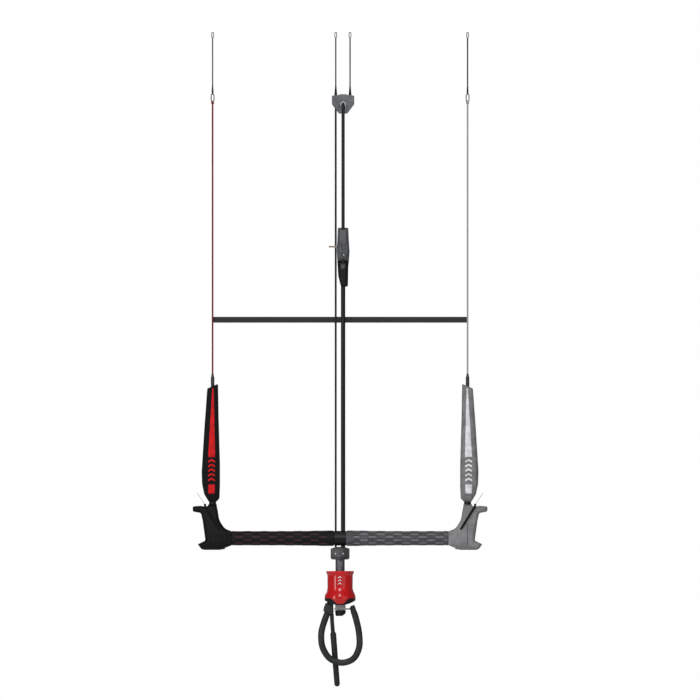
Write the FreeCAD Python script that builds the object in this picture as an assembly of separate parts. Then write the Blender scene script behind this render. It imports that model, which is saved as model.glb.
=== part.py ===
"""Kitesurf control bar: bar, floats, leader lines, trim cleat, swivel, quick release and harness loop.

Frame, in millimetres: +Z up towards the kite, +X along the bar, -Y the face turned to the rider's front.
The origin is the middle of the four line ends, which the kite holds.
"""

import FreeCAD, Part
import math
import os

V = FreeCAD.Vector
X_AXIS, Y_AXIS, Z_AXIS = V(1, 0, 0), V(0, 1, 0), V(0, 0, 1)

# ---- driving dimensions ----
LINE_D = 2.0            # flying lines
LEADER_D = 3.0          # leader lines
FLAG_D = 3.2            # safety flag-out line
TRIM_D = 6.0            # trim line
TUBE_D = 7.8            # sheath of the depower line
CORE_D = 5.0            # rope inside the sheath
SLACK = 0.1             # radial clearance of a running fit
GAP = 0.3               # clearance between faces that pass each other

LEADER_X = 225.0        # half the spacing of the leader lines
FRONT_X = (-7.6, 17.6)  # the two front lines
FLAG_X = -7.7
TUBE_X = 5.3            # trim line, cleat and sheath share this line

SPLICE_TOP = -93.5      # where each flying line thickens into its splice
SPLICE_R = 2.8          # the front splices where they enter the block
BLOCK_TOP = -109.8
BLOCK_BOTTOM = -144.2
BLOCK_HALF_WIDTH = 19.9
BLOCK_HALF_DEPTH = 7.5
EYE_Z = -126.9
EYE_R = 3.35
ROPE_BEND_R = 7.2       # trim line over the eye's rim

LEADER_TOP = -125.0
FERRULE_TOP = -603.3
FLOAT_TOP = -620.8
STRAP_Z = -507.9
STRAP_HEIGHT = 10.4
STRAP_THICK = 1.4
STRAP_BACK = 12.0       # how far the strap bows behind the centre lines

CLEAT_TOP = -345.4
CLEAT_BOTTOM = -404.0
HANDLE_TOP = -404.3
HANDLE_BOTTOM = -449.7

BAR_Z = -893.5
GRIP_R = 12.8
HUB_R = 14.0
TUBE_WALL = 1.5
BAR_TUBE_R = 9.5
GRIP_END = 191.3
BALL_R = 11.0
TILT = 10.0             # degrees the bar rocks each way on the guide

BARREL_TOP = -908.6
BARREL_BOTTOM = -931.2
BARREL_R = 16.8
BEARING_R = 12.5
LINES_LOW = BARREL_TOP - 3.5    # both centre lines end inside the barrel
FLAG_TOP = -131.0
STEM_R = 8.15

SLEEVE_TOP = -951.3
SLEEVE_BOTTOM = -1011.8
LOOP_PIVOT = (-17.0, -1000.0)
LOOP_D = 11.4
STICK_AXIS = (-14.6, 1.8)


# ---- helpers ----
def cylinder(r, z0, z1, x=0.0, y=0.0):
    """Upright cylinder between two heights."""
    return Part.makeCylinder(r, z1 - z0, V(x, y, z0))


def rod(start, end, r):
    """Cylinder between two points."""
    start, end = V(*start), V(*end)
    return Part.makeCylinder(r, (end - start).Length, start, end - start)


def ring(r_out, r_in, z0, z1, x=0.0, y=0.0):
    return cylinder(r_out, z0, z1, x, y).cut(cylinder(r_in, z0 - 1, z1 + 1, x, y))


def block(x0, x1, y0, y1, z0, z1):
    return Part.makeBox(x1 - x0, y1 - y0, z1 - z0, V(x0, y0, z0))


def corner_arc(before, corner, after, radius):
    """Tangent points and middle of the arc that rounds a corner."""
    a, b = (before - corner).normalize(), (after - corner).normalize()
    half = a.getAngle(b) / 2
    reach = radius / math.tan(half)
    middle = (a + b).normalize() * (radius / math.sin(half) - radius)
    return corner + a * reach, corner + middle, corner + b * reach


def outline(points, place):
    """Closed face from (u, v, corner radius) points; place turns (u, v) into a 3-D point."""
    corners = [place(u, v) for u, v, _ in points]
    edges, joints = [], []
    for i, (_, _, radius) in enumerate(points):
        before, after = corners[i - 1], corners[(i + 1) % len(points)]
        if radius:
            start, middle, end = corner_arc(before, corners[i], after, radius)
            edges.append(Part.Arc(start, middle, end).toShape())
            joints.append((start, end))
        else:
            joints.append((corners[i], corners[i]))
            edges.append(None)
    ordered = []
    for i, arc in enumerate(edges):
        if arc:
            ordered.append(arc)
        leave, arrive = joints[i][1], joints[(i + 1) % len(points)][0]
        if (leave - arrive).Length > 1e-4:
            ordered.append(Part.LineSegment(leave, arrive).toShape())
    return Part.Face(Part.Wire(ordered))


def front_prism(points, y0, y1):
    """Solid with an X-Z outline, from depth y0 to y1."""
    return outline(points, lambda x, z: V(x, y0, z)).extrude(V(0, y1 - y0, 0))


def side_prism(points, x0, x1):
    """Solid with a Y-Z outline, from x0 to x1."""
    return outline(points, lambda y, z: V(x0, y, z)).extrude(V(x1 - x0, 0, 0))


def top_prism(points, z0, z1):
    """Solid with an X-Y outline, from height z0 to z1."""
    return outline(points, lambda x, y: V(x, y, z0)).extrude(V(0, 0, z1 - z0))


def turned(points, x=0.0, y=0.0):
    """Solid of revolution about a vertical axis from (radius, z) points."""
    profile = Part.Face(Part.makePolygon([V(x + r, y, z) for r, z in points + points[:1]]))
    return profile.revolve(V(x, y, 0), Z_AXIS, 360)


def turned_along_x(points, z):
    """Solid of revolution about the bar's axis from (x, radius) points."""
    profile = Part.Face(Part.makePolygon([V(x, 0, z + r) for x, r in points + points[:1]]))
    return profile.revolve(V(0, 0, z), X_AXIS, 360)


def rounded_path(points, name):
    """Wire of straight runs joined by tangent arcs, each as large as its two runs allow."""
    points = [V(*p) for p in points]
    edges, at, radii = [], points[0], []
    for before, corner, after in zip(points, points[1:], points[2:]):
        run = min((corner - before).Length, (after - corner).Length)
        turn = math.pi - (before - corner).getAngle(after - corner)
        radius = 0.45 * run / math.tan(turn / 2)
        start, middle, end = corner_arc(before, corner, after, radius)
        edges += [Part.LineSegment(at, start).toShape(), Part.Arc(start, middle, end).toShape()]
        radii.append(round(radius, 1))
        at = end
    edges.append(Part.LineSegment(at, points[-1]).toShape())
    print(f"{name}: radii {radii}, length {sum(e.Length for e in edges):.1f}")
    return Part.Wire(edges)


def cord(points, diameter, name):
    """Round tube along a rounded path."""
    path = rounded_path(points, name)
    direction = V(*points[1]) - V(*points[0])
    circle = Part.Circle(V(*points[0]), direction, diameter / 2).toShape()
    tube = path.makePipeShell([Part.Wire(circle)], True, False)
    tube = tube if tube.Solids else Part.Solid(tube)
    share = tube.Volume / (math.pi * diameter**2 / 4 * path.Length)
    print(f"{name}: volume over section times length {share:.4f}")
    return tube


def eye_loop(x, z_low, z_high, half_width, wire_r, y=0.0):
    """Standing loop of line: two straight legs closed by a half ring at each end."""
    bend = half_width - wire_r
    low, high = z_low + half_width, z_high - half_width
    path = Part.Wire([
        Part.LineSegment(V(x - bend, y, low), V(x - bend, y, high)).toShape(),
        Part.Arc(V(x - bend, y, high), V(x, y, high + bend), V(x + bend, y, high)).toShape(),
        Part.LineSegment(V(x + bend, y, high), V(x + bend, y, low)).toShape(),
        Part.Arc(V(x + bend, y, low), V(x, y, low - bend), V(x - bend, y, low)).toShape(),
    ])
    circle = Part.Circle(V(x - bend, y, low), Z_AXIS, wire_r).toShape()
    loop = path.makePipeShell([Part.Wire(circle)], True, False)
    return loop if loop.Solids else Part.Solid(loop)


def mirrored(shape):
    return shape.mirror(V(0, 0, 0), X_AXIS)


def group(shapes):
    return Part.makeCompound(shapes)


# ---- kite side: front lines, joining block, trim line and flag line ----
LINE_EYE_LOW = -11.0


def line_end(x):
    """The eye loop that a kite's own line is hitched to."""
    return eye_loop(x, LINE_EYE_LOW, 0.0, 2.3, 0.7)


def splice(x, top, bottom, thick_r):
    """Tapered cover over a spliced line."""
    r = LINE_D / 2
    return turned([(0, top), (r + 0.1, top), (thick_r, bottom + 5), (thick_r, bottom), (0, bottom)], x)


def front_lines():
    return {
        "front_lines": group([cylinder(LINE_D / 2, SPLICE_TOP, LINE_EYE_LOW, x) for x in FRONT_X]),
        "front_line_ends": group([line_end(x) for x in FRONT_X]),
        "front_splices": group([splice(x, SPLICE_TOP, BLOCK_TOP - 9, SPLICE_R) for x in FRONT_X]),
    }


def joining_block():
    """Block that joins both front lines to the trim line, split into a front and a rear shell."""
    w, c = BLOCK_HALF_WIDTH, TUBE_X
    points = [
        (c - w, BLOCK_TOP - 2.4, 2.5), (c - 8.5, BLOCK_TOP - 1.4, 4), (c - 5.5, BLOCK_TOP, 1.5),
        (c + 5.5, BLOCK_TOP, 1.5), (c + 8.5, BLOCK_TOP - 1.4, 4), (c + w, BLOCK_TOP - 2.4, 2.5),
        (c + w, BLOCK_TOP - 17.8, 2), (c + 7.4, BLOCK_BOTTOM, 1.5),
        (c - 7.4, BLOCK_BOTTOM, 1.5), (c - w, BLOCK_TOP - 17.8, 2),
    ]
    d = BLOCK_HALF_DEPTH
    body = front_prism(points, -d, d)
    body = body.common(side_prism([
        (-d, BLOCK_TOP - 12, 6), (-d + 2.5, BLOCK_TOP, 2), (d - 2.5, BLOCK_TOP, 2),
        (d, BLOCK_TOP - 12, 6), (d - 2.6, BLOCK_BOTTOM, 1), (-d + 2.6, BLOCK_BOTTOM, 1),
    ], c - w, c + w))
    recess = [(c - 4.8, EYE_Z + 5.6, 2), (c + 4.8, EYE_Z + 5.6, 2), (c + 12, BLOCK_BOTTOM - 1, 0),
              (c - 12, BLOCK_BOTTOM - 1, 0)]
    floor = 3.5
    body = body.cut(front_prism(recess, -d - 1, -floor)).cut(front_prism(recess, floor, d + 1))
    body = body.cut(Part.makeCylinder(EYE_R + 2.05, 4 * d, V(c, -2 * d, EYE_Z), Y_AXIS))
    pin_z = BLOCK_TOP - 12.0
    pins = []
    for x in FRONT_X:
        body = body.cut(cylinder(SPLICE_R, BLOCK_TOP - 9, BLOCK_TOP + 1, x))
        pins.append(Part.makeCylinder(1.5, 2 * d - 4, V(x, -d + 2, pin_z), Y_AXIS))
    for pin in pins:
        body = body.cut(pin)
    body = body.cut(cylinder(FLAG_D / 2, BLOCK_BOTTOM, FLAG_TOP, FLAG_X))
    half = block(c - 30, c + 30, -20, 0, BLOCK_BOTTOM - 5, BLOCK_TOP + 5)
    return {
        "block_front_shell": body.common(half),
        "block_rear_shell": body.cut(half),
        "block_pins": group(pins),
        "block_eyelet": eyelet(),
    }


def eyelet():
    """Metal eyelet whose bore flares to the bend of the trim line."""
    half, rim = 3.4, ROPE_BEND_R - TRIM_D / 2 - 0.15
    lip = EYE_R + rim - math.sqrt(rim**2 - half**2)
    outer = EYE_R + 2.05
    edges = [
        Part.Arc(V(lip, -half, 0), V(EYE_R, 0, 0), V(lip, half, 0)).toShape(),
        Part.LineSegment(V(lip, half, 0), V(outer, half, 0)).toShape(),
        Part.LineSegment(V(outer, half, 0), V(outer, -half, 0)).toShape(),
        Part.LineSegment(V(outer, -half, 0), V(lip, -half, 0)).toShape(),
    ]
    shape = Part.Face(Part.Wire(edges)).revolve(V(0, 0, 0), Y_AXIS, 360)
    shape.translate(V(TUBE_X, 0, EYE_Z))
    return shape


TRIM_REAR_Y = 4.0       # where the fixed strand meets the cleat


def trim_line():
    """Two strands over the eyelet: a half ring at the top, then straight down."""
    low, high = CLEAT_TOP - 3.6, EYE_Z - 0.1
    front, back = V(TUBE_X, -ROPE_BEND_R, low), V(TUBE_X, TRIM_REAR_Y, low)
    turn_z = high - ROPE_BEND_R
    start, top = V(TUBE_X, -ROPE_BEND_R, turn_z), V(TUBE_X, 0, high)
    end = V(TUBE_X, ROPE_BEND_R, turn_z)
    lean = V(TUBE_X, ROPE_BEND_R - 0.25, turn_z - 12)
    path = Part.Wire([
        Part.LineSegment(front, start).toShape(),
        Part.Arc(start, top, end).toShape(),
        Part.Arc(end, V(TUBE_X, ROPE_BEND_R - 0.05, turn_z - 6), lean).toShape(),
        Part.LineSegment(lean, back).toShape(),
    ])
    circle = Part.Circle(front, Z_AXIS, TRIM_D / 2).toShape()
    tube = path.makePipeShell([Part.Wire(circle)], True, False)
    tube = tube if tube.Solids else Part.Solid(tube)
    share = tube.Volume / (math.pi * TRIM_D**2 / 4 * path.Length)
    print(f"trim_line: radius {ROPE_BEND_R}, length {path.Length:.1f}, volume share {share:.4f}")
    return tube


def flag_line():
    return cylinder(FLAG_D / 2, LINES_LOW, FLAG_TOP, FLAG_X)


# ---- centre line: cleat, sheathed depower line and swivel barrel ----
def cleat():
    """Body with a bore for the pulled strand, an anchor bore for the fixed one and a wedge insert."""
    top, low, c = CLEAT_TOP, CLEAT_BOTTOM, TUBE_X
    body = front_prism([
        (c - 9.2, top, 2), (c + 9.2, top, 2), (c + 10.2, top - 22, 20), (c + 11.5, top - 42, 20),
        (c + 10.4, low, 1), (c - 10.2, low, 1), (c - 11.0, top - 40, 20),
    ], -12.0, 9.0)
    body = body.common(side_prism([
        (-11.2, top, 3), (7.6, top, 3), (9.0, top - 22, 20), (9.0, low, 1), (-10.8, low, 1),
        (-12.0, low + 16, 12), (-12.0, top - 22, 20),
    ], c - 20, c + 20))
    wedge_room = block(c - 5.2, c + 5.2, -10.4, -5.4, top - 39, top - 27)
    bore = cylinder(TRIM_D / 2 + GAP, low - 1, top + 1, c, -ROPE_BEND_R)
    anchor = cylinder(TRIM_D / 2 + 0.8, top - 4, top + 1, c, TRIM_REAR_Y)
    socket = cylinder(TUBE_D / 2, low - 1, low + 6, c)
    wedge = wedge_room.cut(bore)
    for x in (c - 2.2, c + 3.0):
        body = body.cut(block(x - 1.2, x + 1.2, -13, -10, top - 39.5, top - 28.5))
    body = body.cut(rod((c - 1.9, -13, top - 46.4), (c - 1.9, -10, top - 46.4), 1.1))
    body = body.cut(wedge_room).cut(bore).cut(anchor).cut(socket)
    pin = turned_along_x([
        (-19.9, 0), (-19.9, 1.5), (-8.9, 1.5), (-8.4, 2.0), (-6.2, 2.0), (-5.7, 1.5),
        (c - 5.4, 1.5), (c - 5.4, 0),
    ], top - 33.5)
    pin.translate(V(0, -4.4, 0))
    body = body.cut(pin)
    screws = []
    for z in (top - 8.5, low + 9.0):
        screw = rod((c - 4.5, 4.5, z), (c - 4.5, 9.4, z), 1.6)
        screws.append(screw.fuse(rod((c - 4.5, 8.6, z), (c - 4.5, 9.6, z), 2.6)))
        body = body.cut(screws[-1])
    return {"cleat_body": body, "cleat_wedge": wedge, "cleat_side_pin": pin,
            "cleat_screws": group(screws)}


def depower_line():
    top, low = CLEAT_BOTTOM + 6, LINES_LOW
    sheath = ring(TUBE_D / 2, CORE_D / 2, low, top, TUBE_X)
    return {"depower_sheath": sheath, "depower_core": cylinder(CORE_D / 2, low, top, TUBE_X)}


def swivel_barrel():
    """Domed barrel around the thrust bearing, closed below by a threaded race."""
    dome_r, r = 45.0, BARREL_R
    rim = BARREL_TOP - (dome_r - math.sqrt(dome_r**2 - r**2))
    body = cylinder(r, BARREL_BOTTOM, BARREL_TOP + 1)
    body = body.common(Part.makeSphere(dome_r, V(0, 0, BARREL_TOP - dome_r)))
    foot = 4.2
    skirt = turned([
        (0, BARREL_BOTTOM), (r - foot, BARREL_BOTTOM), (r - foot * 0.3, BARREL_BOTTOM + foot * 0.3),
        (r, BARREL_BOTTOM + foot), (r, rim + 5), (0, rim + 5),
    ])
    body = body.common(skirt)
    body = body.cut(cylinder(BEARING_R, BARREL_BOTTOM - 1, -916.0))
    body = body.cut(cylinder(TUBE_D / 2, LINES_LOW, 0, TUBE_X))
    body = body.cut(cylinder(FLAG_D / 2 + GAP, LINES_LOW - 0.5, 0, FLAG_X))
    screws = []
    for angle in (-30.0, 18.0):
        way = V(math.sin(math.radians(angle)), -math.cos(math.radians(angle)), 0)
        screw = Part.makeCylinder(1.7, 3.4, V(0, 0, -920.7) + way * (r - 3.2), way)
        screws.append(screw)
        body = body.cut(screw)
    return {
        "swivel_barrel": body,
        "swivel_race": ring(BEARING_R, STEM_R + SLACK, BARREL_BOTTOM + 0.8, -925.4),
        "barrel_screws": group(screws),
    }


def centre_line():
    return {**cleat(), **depower_line(), **swivel_barrel()}


# ---- trim handle ----
def trim_handle():
    """Rubber pull handle that slides along the sheath."""
    c = TUBE_X
    body = front_prism([
        (c - 10.2, HANDLE_TOP, 0.8), (c + 10.4, HANDLE_TOP, 0.8), (c + 9.2, HANDLE_TOP - 10, 8),
        (c + 8.6, HANDLE_BOTTOM, 3), (c - 3.8, HANDLE_BOTTOM, 2), (c - 8.6, HANDLE_BOTTOM + 19, 24),
    ], -13.4, 8.8)
    body = body.common(side_prism([
        (-11.0, HANDLE_TOP, 0.8), (8.8, HANDLE_TOP, 0.8), (6.2, HANDLE_TOP - 20, 20),
        (6.0, HANDLE_BOTTOM, 3),
        (-9.6, HANDLE_BOTTOM, 4), (-13.4, HANDLE_TOP - 14, 20),
    ], c - 20, c + 20))
    body = body.cut(cylinder(TUBE_D / 2 + SLACK, HANDLE_BOTTOM - 1, HANDLE_TOP + 1, c))
    tail_low = HANDLE_TOP - 22.0
    tail = cylinder(TRIM_D / 2, tail_low, CLEAT_TOP - 4.0, c, -ROPE_BEND_R)
    return {"trim_handle": body.cut(tail), "trim_tail": tail}


# ---- bar ----
NECK_Z = BAR_Z + 62.0       # middle of the ball joint between bar end and float
NECK_TOP = BAR_Z + 60.4
NECK_BALL_R = 6.4


def line_slot():
    """Space that both lines need through the hub while the bar rocks."""
    reach = 16.0
    waist = TUBE_X + TUBE_D / 2 + 0.5
    mouth = waist + reach * math.tan(math.radians(TILT)) + GAP
    half = TUBE_D / 2 + 0.5
    return front_prism([
        (-mouth, BAR_Z + reach, 0), (mouth, BAR_Z + reach, 0), (waist, BAR_Z, 0),
        (mouth, BAR_Z - reach, 0), (-mouth, BAR_Z - reach, 0), (-waist, BAR_Z, 0),
    ], -half, half)


def line_guide():
    """Ball in the hub, bored for the sheath and for the flag line, on which the bar rocks."""
    ball = Part.makeSphere(BALL_R, V(0, 0, BAR_Z))
    ball = ball.cut(cylinder(TUBE_D / 2 + SLACK, BAR_Z - 20, BAR_Z + 20, TUBE_X))
    return ball.cut(cylinder(FLAG_D / 2 + SLACK, BAR_Z - 20, BAR_Z + 20, FLAG_X))


HUB_HALF = 32.0
HUB_NECK_R = 12.0
NOSE_X = 9.9
SOCKET_X = 14.5


def hub_shells():
    body = turned_along_x([
        (-HUB_HALF, 0), (-HUB_HALF, HUB_NECK_R), (-NOSE_X, HUB_NECK_R), (-NOSE_X, HUB_R - 0.2),
        (NOSE_X, HUB_R - 0.2), (NOSE_X, HUB_NECK_R), (HUB_HALF, HUB_NECK_R), (HUB_HALF, 0),
    ], BAR_Z)
    body = body.cut(Part.makeSphere(BALL_R + 0.08, V(0, 0, BAR_Z))).cut(line_slot())
    for side in (-1, 1):
        body = body.cut(rod((side * SOCKET_X, 0, BAR_Z), (side * 40, 0, BAR_Z), BAR_TUBE_R))
    half = block(-40, 40, -20, 0, BAR_Z - 20, BAR_Z + 20)
    return {"hub_front_shell": body.common(half), "hub_rear_shell": body.cut(half)}


def grip(side):
    """Foam grip that thickens towards the hub."""
    points = [
        (NOSE_X, HUB_NECK_R), (NOSE_X, HUB_R - 1.4), (NOSE_X + 1.6, HUB_R), (20, HUB_R),
        (55, GRIP_R + 0.4), (110, GRIP_R), (GRIP_END, GRIP_R), (GRIP_END, BAR_TUBE_R),
        (HUB_HALF, BAR_TUBE_R), (HUB_HALF, HUB_NECK_R),
    ]
    shape = turned_along_x([(side * x, r) for x, r in points], BAR_Z)
    return shape.cut(line_slot())


TUBE_END = 222.0
SCREW_X = 206.0


def end_screw():
    """Countersunk screw up through the bar end, the tube and its plug."""
    low = BAR_Z - 20.0
    shank = cylinder(1.9, low + 1, BAR_Z + 4, SCREW_X)
    return shank.fuse(turned([(0, low + 0.4), (3.6, low + 0.4), (1.9, low + 2.4), (0, low + 2.4)], SCREW_X))


def bar_end():
    """Moulded end with a winding horn above and a foot below; this is the right one."""
    z = BAR_Z
    front = front_prism([
        (GRIP_END, z + 12.4, 0), (203.5, z + 16.8, 18), (213.4, z + 32, 30), (215.9, z + 49.5, 2),
        (218.0, z + 58, 0.8), (233.0, z + 58, 1), (236.5, z + 55.2, 3), (246.0, z + 57.3, 8),
        (260.3, z + 56.2, 3), (260.0, z + 47.0, 3), (245.6, z + 44.4, 4), (242.4, z + 30, 30),
        (237.8, z - 4.2, 3), (251.3, z - 10.6, 1.0), (245.0, z - 19.0, 3), (240.0, z - 20.7, 3),
        (211.0, z - 20.7, 12), (GRIP_END, z - 12.4, 0),
    ], -20, 20)
    plan = top_prism([
        (GRIP_END, -GRIP_R, 0), (203, -14.6, 14), (232, -14.6, 16), (252, -10.5, 8), (260.4, -8.6, 3),
        (260.4, 8.6, 3), (252, 10.5, 8), (232, 14.6, 16), (203, 14.6, 14), (GRIP_END, GRIP_R, 0),
    ], z - 30, z + 70)
    depth = side_prism([
        (-9.6, z + 58.2, 3), (9.6, z + 58.2, 3), (12.5, z + 30, 30), (14.6, z + 8, 20), (14.6, z - 8, 6),
        (10.5, z - 20.8, 6), (-10.5, z - 20.8, 6), (-14.6, z - 8, 6), (-14.6, z + 8, 20),
        (-12.5, z + 30, 30),
    ], GRIP_END - 1, 262)
    body = front.common(plan).common(depth)
    body = body.cut(rod((GRIP_END - 1, 0, z), (TUBE_END, 0, z), BAR_TUBE_R))
    collar = turned([(0, z + 50), (7.7, z + 50), (7.6, z + 57), (7.4, NECK_TOP), (0, NECK_TOP)], LEADER_X)
    neck_hole = turned([
        (0, z + 36), (3.2, z + 36), (3.2, z + 46), (4.9, z + 57), (0, z + 57),
    ], LEADER_X)
    socket = Part.makeSphere(NECK_BALL_R + SLACK, V(LEADER_X, 0, NECK_Z))
    return body.fuse(collar).cut(neck_hole).cut(socket).cut(end_screw())


def bar_tube():
    tube = rod((SOCKET_X, 0, BAR_Z), (TUBE_END, 0, BAR_Z), BAR_TUBE_R)
    tube = tube.cut(rod((SOCKET_X - 1, 0, BAR_Z), (TUBE_END + 1, 0, BAR_Z), BAR_TUBE_R - TUBE_WALL))
    return tube.cut(end_screw())


def tube_plug():
    plug = rod((TUBE_END - 30, 0, BAR_Z), (TUBE_END, 0, BAR_Z), BAR_TUBE_R - TUBE_WALL)
    return plug.cut(end_screw())


KEEPER_D = 3.8
KEEPER_ROUTE = [
    (212.8, -10.4, BAR_Z + 15.6), (213.0, -16.2, BAR_Z + 15.9), (225.4, -14.4, BAR_Z + 36.0),
    (236.6, -12.4, BAR_Z + 53.6), (238.6, -7.8, BAR_Z + 57.6),
]
WHISKER_D = 0.8


def keeper():
    """Elastic line keeper on the bar end: cord over the front face, a bead on top and its thin tail."""
    strap = cord(KEEPER_ROUTE, KEEPER_D, "keeper")
    bead = Part.makeSphere(2.3, V(238.4, -6.8, BAR_Z + 58.7))
    tail = rod((239.4, -6.8, BAR_Z + 60.4), (252.5, -6.8, BAR_Z + 80.3), WHISKER_D / 2)
    return group([strap.cut(bar_end()).cut(bead), bead.cut(bar_end()), tail.cut(bead)])


def bar():
    end, tube, plug, screw, elastic = bar_end(), bar_tube(), tube_plug(), end_screw(), keeper()
    return {
        **hub_shells(),
        "grip_left": grip(-1),
        "grip_right": grip(1),
        "bar_tubes": group([tube, mirrored(tube)]),
        "tube_plugs": group([plug, mirrored(plug)]),
        "bar_end_left": mirrored(end),
        "bar_end_right": end,
        "bar_end_screws": group([screw, mirrored(screw)]),
        "keepers": group([elastic, mirrored(elastic)]),
    }


# ---- leaders: float, ferrule, leader line and back line of one side ----
FLOAT_BOTTOM = BAR_Z + 64.4


def float_body():
    """Foam float around the leader; this is the right one."""
    z, top = BAR_Z, FLOAT_TOP
    front = front_prism([
        (215.3, top, 1.5), (234.5, top - 8.4, 1.5), (239.8, z + 191, 60), (244.4, z + 116.9, 40),
        (243.7, z + 95.7, 30), (239.8, z + 77.5, 6), (231.9, FLOAT_BOTTOM, 1.5), (218.3, FLOAT_BOTTOM, 1.5),
        (212.8, z + 70.1, 3), (211.9, z + 94, 40), (211.9, z + 129.3, 40), (214.4, z + 215.7, 60),
    ], -20, 20)
    depth = side_prism([
        (-7.5, top, 2), (7.5, top, 2), (10.5, z + 190, 80), (13.0, z + 115, 40), (12.0, z + 80, 10),
        (7.0, FLOAT_BOTTOM, 2), (-7.0, FLOAT_BOTTOM, 2), (-12.0, z + 80, 10), (-13.0, z + 115, 40),
        (-10.5, z + 190, 80),
    ], 205, 250)
    plan = top_prism([
        (211.0, -13.5, 8), (245.0, -13.5, 8), (245.0, 13.5, 8), (211.0, 13.5, 8),
    ], z + 60, top + 5)
    ferrule_bore = cylinder(3.2, FLOAT_TOP - 20, FLOAT_TOP + 5, LEADER_X)
    return front.common(depth).common(plan).cut(ferrule_bore)


def neck_bead():
    """Ball under the float that rocks in the bar end, with the stub of line that runs into it."""
    ball = Part.makeSphere(NECK_BALL_R, V(LEADER_X, 0, NECK_Z))
    ball = ball.common(cylinder(NECK_BALL_R + 1, NECK_Z - 7, FLOAT_BOTTOM, LEADER_X))
    return ball.fuse(cylinder(1.9, NECK_Z - 10, NECK_Z, LEADER_X))


def ferrule():
    """Conical line guide on top of the float."""
    low, top = FLOAT_TOP - 20, FERRULE_TOP
    shape = turned([
        (0, low), (3.2, low), (3.2, top - 6.2), (2.2, top - 4.4), (2.0, top), (0, top),
    ], LEADER_X)
    return shape.cut(cylinder(LEADER_D / 2, low - 1, top + 1, LEADER_X))


def leader_line():
    return cylinder(LEADER_D / 2, FLOAT_TOP - 20, LEADER_TOP - 3, LEADER_X)


def leader_knot():
    """Stopper knot at the top of the leader, which the back line's loop is hitched under."""
    z = LEADER_TOP
    knot = cylinder(1.4, z - 3, z + 1.2, LEADER_X)
    knot = knot.fuse(Part.makeTorus(1.5, 1.15, V(LEADER_X, 0, z - 1.2)))
    return knot.fuse(Part.makeTorus(1.4, 1.1, V(LEADER_X, 0, z + 0.6)))


def side(name):
    """All nodes of one leader; the left one is the mirror of the right."""
    z = SPLICE_TOP
    shapes = {
        "float": float_body(),
        "neck_bead": neck_bead(),
        "ferrule": ferrule(),
        "leader": leader_line(),
        "leader_knot": leader_knot(),
        "back_line": cylinder(LINE_D / 2, z, LINE_EYE_LOW, LEADER_X),
        "back_splice": group([
            splice(LEADER_X, z, z - 15.4, 1.7), line_end(LEADER_X),
            eye_loop(LEADER_X, z - 29.9, z - 15.4, 3.4, 0.9),
        ]),
    }
    flip = mirrored if name == "left" else (lambda shape: shape)
    return {f"{key}_{name}": flip(shape) for key, shape in shapes.items()}


def cross_strap():
    """Webbing between the two leaders, bowed behind everything on the centre line."""
    end, near, t = 2.6, 70.0, STRAP_THICK / 2
    z0, z1 = STRAP_Z - STRAP_HEIGHT / 2, STRAP_Z + STRAP_HEIGHT / 2
    back = STRAP_BACK
    outer = [(-LEADER_X, end + t), (-near, back + t), (near, back + t), (LEADER_X, end + t)]
    inner = [(LEADER_X, end - t), (near, back - t), (-near, back - t), (-LEADER_X, end - t)]
    return top_prism([(x, y, 0) for x, y in outer + inner], z0, z1)


# ---- release unit ----
SHAFT_TOP = -918.4
HEAD_LOW = -922.4
HEAD_R = 12.2
COLLAR_Z = -958.0
COLLAR_R = 18.6
SHOULDER_Z = -990.0
SLEEVE_BORE = 19.0
CORE_LOW = -1011.0
CHEEK_HALF = 6.6
LOOP_PIN_R = 2.0
PIN_Z = -1018.4
PIN_R = 1.25
SADDLE_LOW = -1020.6
PLUG_LOW = -1030.8
TIP_SWING_R = 37.5      # the loop's free end passes outside this circle round its pivot, the plug stays in


def swing_cylinder(r):
    px, pz = LOOP_PIVOT
    return Part.makeCylinder(r, 40, V(px, -20, pz), Y_AXIS)


def swivel_shaft():
    """Headed shaft that hangs in the barrel and carries the release."""
    return turned([
        (0, SHAFT_TOP), (HEAD_R, SHAFT_TOP), (HEAD_R, HEAD_LOW), (STEM_R, HEAD_LOW),
        (STEM_R, COLLAR_Z + 1), (0, COLLAR_Z + 1),
    ])


def bearing_balls():
    count, pitch_r, ball_r = 16, 10.3, 1.5
    return group([
        Part.makeSphere(ball_r, V(pitch_r * math.cos(a), pitch_r * math.sin(a), HEAD_LOW - ball_r))
        for a in (2 * math.pi * i / count for i in range(count))
    ])


def release_core():
    """Core inside the sleeve: spring collar, neck, and the yoke that holds the loop's eye."""
    px, pz = LOOP_PIVOT
    body = turned([
        (0, COLLAR_Z + 1), (COLLAR_R, COLLAR_Z + 1), (COLLAR_R, COLLAR_Z - 3), (9.5, COLLAR_Z - 3),
        (9.5, -987), (11.9, -987), (11.9, CORE_LOW + 4), (9.0, CORE_LOW), (0, CORE_LOW),
    ])
    cheeks = front_prism([
        (px - 5.8, pz + 5.8, 5.7), (px + 8, pz + 5.8, 0), (px + 8, pz - 5.8, 0), (px - 5.8, pz - 5.8, 5.7),
    ], -CHEEK_HALF, CHEEK_HALF)
    body = body.fuse(cheeks)
    slot = front_prism([
        (px - 8, pz + 9, 0), (px + 6.6, pz + 9, 0), (px + 6.6, pz - 12, 0), (px - 8, pz - 12, 0),
    ], -4.3, 4.3)
    return body.cut(slot).cut(rod((px, -9, pz), (px, 9, pz), LOOP_PIN_R))


def loop_pin():
    px, pz = LOOP_PIVOT
    return rod((px, -CHEEK_HALF, pz), (px, CHEEK_HALF, pz), LOOP_PIN_R)


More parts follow.
